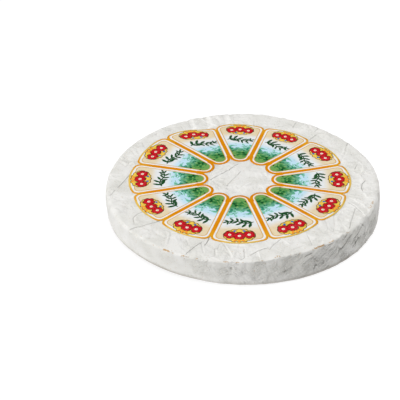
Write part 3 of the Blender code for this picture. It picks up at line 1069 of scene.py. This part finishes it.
def printedPaper():
    # coated label paper, offset printed: even inks with crisp edges and a faint mottle, a low silky sheen
    made, tree, shader = newMaterial("printed coated paper", printed["roughness"], printed["shine"])
    ink = {name: linear(value) for name, value in printed["inks"].items()}
    place = addNode(tree, "TexCoord", out=3)
    spot = addNode(tree, "UVMap", {"uv_map": "print"})
    marks = [{"attribute_name": name} for name in ("edge", "panel", "along", "gilt")]
    edge, panel, along, gilt = [addNode(tree, "Attribute", mark, out=2) for mark in marks]

    # a mosaic of leaves: cells of bent coordinates. One random number of a cell says whether its leaf is
    # there and whether it is dark, another its shade. Further out the leaves turn misty, and then thin out.
    often, reach = printed["leafBends"]
    scale = [printed["mapSize"] / size for size in printed["leafSize"]] + [1.0]
    wander = {"Vector": spot, "Scale": often, "Detail": 2.0}
    bend = addNode(tree, "TexNoise", {"noise_dimensions": "2D"}, wander, 1)
    bend = addNode(tree, "VectorMath", times, {0: bend, 1: (reach, reach, 0.0)})
    leaves = addNode(tree, "VectorMath", plus, {0: spot, 1: bend})
    leaves = addNode(tree, "VectorMath", times, {0: leaves, 1: scale})
    cell = addNode(tree, "TexVoronoi", {"voronoi_dimensions": "2D"}, {"Vector": leaves, "Scale": 1.0}, 1)
    pick, other = [addNode(tree, "SeparateColor", {}, {0: cell}, channel) for channel in (0, 1)]
    dark = addNode(tree, "MapRange", softly, rising(along, *printed["darkFrom"]))
    dark = addNode(tree, "Math", lessThan, {0: pick, 1: dark})
    shade = addNode(tree, "MapRange", {}, rising(other, *printed["leafShades"]))
    green = addNode(tree, "Mix", colourMix, {0: shade, 6: ink["leafDark"], 7: ink["leaf"]}, 2)
    green = addNode(tree, "Mix", colourMix, {0: dark, 6: ink["leafLight"], 7: green}, 2)
    shade = addNode(tree, "MapRange", {}, rising(other, *printed["mistShades"]))
    teal = addNode(tree, "Mix", colourMix, {0: shade, 6: ink["tealDark"], 7: ink["teal"]}, 2)
    misty = addNode(tree, "MapRange", softly, rising(along, *printed["mistFrom"]))
    green = addNode(tree, "Mix", colourMix, {0: misty, 6: green, 7: teal}, 2)
    low, high, most = printed["leavesEnd"]
    sparse = addNode(tree, "MapRange", {}, {0: along, 1: low, 2: high, 3: most, 4: 0.0})
    shown = addNode(tree, "Math", lessThan, {0: pick, 1: sparse})

    # the border's tint, by its gilt
    border = ink["orange"]
    for low, high, tint in ((0.0, 0.5, "amber"), (0.5, 1.0, "gold")):
        share = addNode(tree, "MapRange", {}, rising(gilt, low, high))
        border = addNode(tree, "Mix", colourMix, {0: share, 6: border, 7: ink[tint]}, 2)

    # tints one over another: from the tip to the end of the panel, the mosaic over them, and then outwards
    # from the panel its thin line, the white band and the border
    layers = []
    for tint in ("pale", "cream"):
        further = addNode(tree, "MapRange", softly, rising(along, *printed[tint + "From"]))
        layers.append((further, ink[tint]))
    layers.append((shown, green))
    line, blur = printed["line"] / 2, printed["blur"]
    bands = [(panel, line, ink["tan"]), (panel, -line, ink["white"]), (edge, printed["border"], border)]
    for distance, reach, tint in bands:
        limits = {0: distance, 1: reach - blur, 2: reach + blur, 3: 1.0, 4: 0.0}
        layers.append((addNode(tree, "MapRange", {}, limits), tint))
    colour = ink["sky"]
    for mask, tint in layers:
        colour = addNode(tree, "Mix", colourMix, {0: mask, 6: colour, 7: tint}, 2)

    scale = metre / printed["mottleSize"]
    mottle = addNode(tree, "TexNoise", {}, {"Vector": place, "Scale": scale, "Detail": 2.0})
    mottle = addNode(tree, "MapRange", {}, rising(mottle, *printed["mottle"]))
    darken = {**colourMix, "blend_type": "MULTIPLY"}
    colour = addNode(tree, "Mix", darken, {0: mottle, 6: colour, 7: ink["mottled"]}, 2)
    tree.links.new(colour, shader.inputs["Base Color"])
    return made


labelPiece(printedPaper())
print("label made")

# The ornament of each panel, in millimetres across and along it: a wreath of golden leaves with three red
# flowers and two blue buds, and further in a leafy green sprig. Lifts say how far each ink stands over the
# paper.
ornament = {
    "wreathAt": (0, 122.2),
    "wreathLeaves": 14,
    "wreathRoot": (8.5, 5.5),           # half axes of the oval that the leaves grow from
    "wreathTip": (18.5, 12.6),          # and of the oval that they reach
    "wreathWidth": 8.2,
    "outline": 0.9,                     # how far the dark outline shows round leaves and flowers,
    "broader": 1.5,                     # and how much more of it goes to the width of a leaf
    "flowers": [(-11.2, 120.8, 0.3), (0, 123.2, 0.9), (11.2, 120.8, 1.4)],     # across, along, turn
    "flowerRadius": 7.0,
    "petals": 5,
    "petalNotch": 0.20,                 # how deep a flower is cut between its petals
    "eyeRadius": 1.9,
    "budRadius": 1.7,
    "buds": [(-5.4, 113.6), (5.4, 113.6)],
    "sparks": [(-4.6, 131.6, 2.2), (0, 132.6, 1.57), (4.6, 131.6, 0.94)],       # small orange leaves
    "sparkSize": (6.4, 3.2),
    "stemFrom": -16.0,
    "stemTo": 15.5,
    "stemAlong": 96.0,
    "stemWave": 2.6,
    "stemPieces": 9,
    "stemOverlap": 1.7,                 # each piece of the stem is this much longer than its share
    "stemWidth": 1.8,
    "sprigLeaves": 6,                   # pairs,
    "sprigEnds": (2, -3),               # from and to here, counted from the ends of the stem
    "sprigTaper": 0.35,                 # the last pair is this much smaller
    "endLeaf": (1.2, 0.7),              # how far beyond the stem, and its size
    "sprigSize": (10.4, 3.7),
    "sprigLean": 0.90,
    "rootShift": 0.3,                   # paired leaves don't leave the stem at quite the same place
    "lifts": {
        "shadow": 0.04,
        "leaf": 0.06,
        "darkFlower": 0.07,
        "spark": 0.08,
        "flower": 0.09,
        "eye": 0.10,
        "bud": 0.12,
    },
    "sunk": 0.10,                       # the plates reach this far into the paper
    "roughness": 0.5,
    "shine": 0.05,
    "thinPatch": 2.5,                   # size of the patches where an ink is thin
    "thinFrom": (0.45, 0.75, 0.7),      # from and to these heights of the noise, and how thin at most
    "thinInk": (0.86, 0.06),            # its colour there: this share of the full one, and this much white
    "inks": {
        "darkInk": "#4A2A18",
        "goldInk": "#E6C04A",
        "redInk": "#BE0E1C",
        "orangeInk": "#E8922A",
        "whiteInk": "#E6E6E4",
        "blueInk": "#2F74B8",
        "greenInk": "#1D4A26",
    },
}


def leafOutline(turn):
    # a pointed oval one long and one wide: the cosine along it, and the sine drawn in towards both tips
    return np.stack([np.cos(turn) / 2, np.sin(turn) * np.sqrt(np.abs(np.sin(turn))) / 2], axis=-1)


def flowerOutline(turn):
    # a circle of radius one, drawn in between the petals
    radius = 1 - ornament["petalNotch"] * (1 - np.abs(np.cos(turn * ornament["petals"] / 2)))
    return np.stack([np.cos(turn), np.sin(turn)], axis=-1) * radius[:, None]


def discOutline(turn):
    # a circle of radius one
    return np.stack([np.cos(turn), np.sin(turn)], axis=-1)


def inkPlates(name, material, outline, around, places, lift):
    # thin closed plates on the paper, the same on every panel. Places are: across, along, turn, and by how
    # much the outline grows along and across itself.
    # Each plate has its middle, an inner and an outer ring on top, an outer ring below, and a middle below.
    places = np.array(places, float)
    edge = outline(np.arange(around) * 2 * np.pi / around)
    share = np.array([0, 0.5, 1, 1, 0])[None, :, None, None]
    flat = share * edge[None, None] * places[:, None, None, 3:5]
    cosine, sine = np.cos(places[:, 2])[:, None, None], np.sin(places[:, 2])[:, None, None]
    across = flat[..., 0] * cosine - flat[..., 1] * sine + places[:, 0][:, None, None]
    along = flat[..., 0] * sine + flat[..., 1] * cosine + places[:, 1][:, None, None]
    local = np.tile(np.stack([across, along], axis=-1), (ring["petals"], 1, 1, 1))
    numbers = np.repeat(np.arange(ring["petals"]), len(places))[:, None, None]
    plan = petalPlan(local, numbers)
    lifts = np.array([lift, lift, lift, -ornament["sunk"], -ornament["sunk"]])
    height = paperTop(plan) + lifts[None, :, None]
    rings = np.concatenate([plan, height[..., None]], axis=-1)
    middles = rings[:, [0, 4], :1]
    sides = rings[:, 1:4].reshape(len(rings), -1, 3)
    points = np.concatenate([middles[:, 0], sides, middles[:, 1]], axis=1)

    step = np.arange(around)
    after = (step + 1) % around
    last = 3 * around + 1
    faces = [np.column_stack([np.zeros(around, int), 1 + step, 1 + after])]
    for row in (1, 1 + around):
        faces.append(np.column_stack([row + step, row + around + step, row + around + after]))
        faces.append(np.column_stack([row + step, row + around + after, row + after]))
    faces.append(np.column_stack([last - around + after, last - around + step, np.full(around, last)]))
    faces = np.concatenate(faces)
    faces = (faces + np.arange(len(points))[:, None, None] * (last + 1)).reshape(-1, 3)
    made = addMesh(name, points.reshape(-1, 3), faces, material)


def printedInk(name):
    # offset ink on the coated paper: one flat colour, a little uneven where it took less well
    made, tree, shader = newMaterial("printed " + name, ornament["roughness"], ornament["shine"])
    colour = linear(ornament["inks"][name])
    share, white = ornament["thinInk"]
    thin = [share * part + white for part in colour[:3]] + [1.0]
    place = addNode(tree, "TexCoord", out=3)
    scale = metre / ornament["thinPatch"]
    patch = addNode(tree, "TexNoise", {}, {"Vector": place, "Scale": scale, "Detail": 2.0})
    patch = addNode(tree, "MapRange", softly, rising(patch, *ornament["thinFrom"]))
    colour = addNode(tree, "Mix", colourMix, {0: patch, 6: colour, 7: thin}, 2)
    tree.links.new(colour, shader.inputs["Base Color"])
    return made


def wreathPlaces(grow):
    # leaves that reach from an inner to an outer oval, all round
    turn = (np.arange(ornament["wreathLeaves"]) + 0.5) * 2 * np.pi / ornament["wreathLeaves"]
    root = discOutline(turn) * ornament["wreathRoot"]
    tip = discOutline(turn) * ornament["wreathTip"]
    middle = (root + tip) / 2 + ornament["wreathAt"]
    span = tip - root
    length = np.hypot(*span.T) + 2 * grow
    width = np.full(len(turn), ornament["wreathWidth"] + ornament["broader"] * grow)
    return np.column_stack([middle, np.arctan2(span[:, 1], span[:, 0]), length, width])


def stemPlace(across):
    # the sprig's stem: one wave of a sine over its length
    span = ornament["stemTo"] - ornament["stemFrom"]
    phase = 2 * np.pi * (across - ornament["stemFrom"]) / span
    along = ornament["stemAlong"] + ornament["stemWave"] * np.sin(phase)
    slope = ornament["stemWave"] * np.cos(phase) * 2 * np.pi / span
    return along, np.arctan(slope)


def sprigPlaces():
    # the stem as a chain of thin leaves, paired leaves that lean forwards from it, and one at its end
    stemEnds = np.array([ornament["stemFrom"], ornament["stemTo"]])
    ends = np.linspace(*stemEnds, ornament["stemPieces"] + 1)
    middle = (ends[1:] + ends[:-1]) / 2
    along, turn = stemPlace(middle)
    length = np.full(len(middle), (ends[1] - ends[0]) * ornament["stemOverlap"])
    places = [np.column_stack([middle, along, turn, length, np.full(len(middle), ornament["stemWidth"])])]
    across = np.linspace(*(stemEnds + ornament["sprigEnds"]), ornament["sprigLeaves"])
    along, turn = stemPlace(across)
    long, wide = ornament["sprigSize"]
    size = 1 - ornament["sprigTaper"] * np.linspace(0, 1, len(across))
    for side in (-1, 1):
        lean = turn + side * ornament["sprigLean"]
        reach = long * size / 2
        root = across + side * ornament["rootShift"]
        spot = np.column_stack([root + reach * np.cos(lean), along + reach * np.sin(lean)])
        places.append(np.column_stack([spot, lean, long * size, wide * size]))
    beyond, size = ornament["endLeaf"]
    along, turn = stemPlace(stemEnds[1:])
    places.append(np.column_stack([stemEnds[1:] + beyond, along, turn, [long * size], [wide * size]]))
    return np.concatenate(places)


def evenPlaces(spots, size):
    # places of plates as long as wide and not turned
    spots = np.array(spots, float)
    return np.column_stack([spots[:, :2], np.zeros(len(spots)), np.full((len(spots), 2), size)])


def ornamentPieces():
    # joined plates, one piece for each ink and shape
    lifts, eye = ornament["lifts"], ornament["eyeRadius"]
    inks = {name: printedInk(name) for name in ornament["inks"]}
    flowers = np.array(ornament["flowers"])
    size = np.full((len(flowers), 2), ornament["flowerRadius"])
    blooms = np.column_stack([flowers, size])
    shadows = np.column_stack([flowers, size + ornament["outline"]])
    sparks = np.array([(*spark, *ornament["sparkSize"]) for spark in ornament["sparks"]])
    outer, inner = wreathPlaces(ornament["outline"]), wreathPlaces(0)
    eyes, centres = evenPlaces(flowers, eye), evenPlaces(flowers, eye / 2)
    buds = evenPlaces(ornament["buds"], ornament["budRadius"])

    # piece, ink, outline and its points, places, lift
    pieces = [
        ("leafOutlines", "darkInk", leafOutline, 20, outer, "shadow"),
        ("goldLeaves", "goldInk", leafOutline, 20, inner, "leaf"),
        ("orangeLeaves", "orangeInk", leafOutline, 16, sparks, "spark"),
        ("flowerOutlines", "darkInk", flowerOutline, 30, shadows, "darkFlower"),
        ("redFlowers", "redInk", flowerOutline, 30, blooms, "flower"),
        ("flowerEyes", "whiteInk", discOutline, 16, eyes, "eye"),
        ("flowerCentres", "goldInk", discOutline, 12, centres, "bud"),
        ("blueBuds", "blueInk", discOutline, 12, buds, "bud"),
        ("greenSprigs", "greenInk", leafOutline, 16, sprigPlaces(), "leaf"),
    ]
    for name, ink, outline, around, places, lift in pieces:
        inkPlates(name, inks[ink], outline, around, places, lifts[lift])


ornamentPieces()
print("ornaments made")

# Soft studio light. Each lamp's strength is the brightness that it gives a white sheet facing it, its
# distance and size are in millimetres. The floor is a light table: it glows as well as it reflects, so that
# it stays white beside the wheel.
studio = {
    "overhead": {"strength": 0.97, "from": (0, 90), "distance": 5000, "size": 2600},
    "window": {"strength": 0.52, "from": (240, 13), "distance": 3400, "size": 1000},
    "fill": {"strength": 0.25, "from": (80, 22), "distance": 3000, "size": 1800},
    "room": 0.05,
    "white": (1, 1, 1, 1),
    "floor": "#787878",
    "floorRoughness": 0.9,
    "floorGlow": 0.84,
    "floorSide": 24000,
}


def addLamp(name):
    # a square soft lamp that faces the wheel from a clock direction and a height in degrees
    lamp = studio[name]
    turn, rise = np.radians(lamp["from"])
    toward = np.append(direction(turn) * np.cos(rise), np.sin(rise))
    data = bpy.data.lights.new(name, "AREA")
    data.size = lamp["size"] * millimetre
    distance = lamp["distance"] * millimetre
    data.energy = lamp["strength"] * (np.pi * distance) ** 2
    made = bpy.data.objects.new(name, data)
    side = np.append(direction(turn + np.pi / 2), 0)
    facing = Matrix(np.array([side, np.cross(toward, side), toward]).T.tolist()).to_4x4()
    made.matrix_world = Matrix.Translation(toward * distance) @ facing
    bpy.context.scene.collection.objects.link(made)


def addStudio():
    for name in ("overhead", "window", "fill"):
        addLamp(name)
    world = bpy.data.worlds.new("room")
    world.use_nodes = True
    background = world.node_tree.nodes["Background"]
    background.inputs["Strength"].default_value = studio["room"]
    background.inputs["Color"].default_value = studio["white"]
    bpy.context.scene.world = world
    bpy.context.scene.view_settings.view_transform = "Standard"
    half = studio["floorSide"] * millimetre / 2
    mesh = bpy.data.meshes.new("floor")
    corners = [(-half, -half, 0), (half, -half, 0), (half, half, 0), (-half, half, 0)]
    mesh.from_pydata(corners, [], [(0, 1, 2, 3)])
    paint, tree, shader = newMaterial("opal acrylic light table", studio["floorRoughness"])
    shader.inputs["Base Color"].default_value = linear(studio["floor"])
    shader.inputs["Emission Color"].default_value = studio["white"]
    shader.inputs["Emission Strength"].default_value = studio["floorGlow"]
    mesh.materials.append(paint)
    floor = bpy.data.objects.new("floor", mesh)
    bpy.context.scene.collection.objects.link(floor)


addStudio()
print("studio lit")
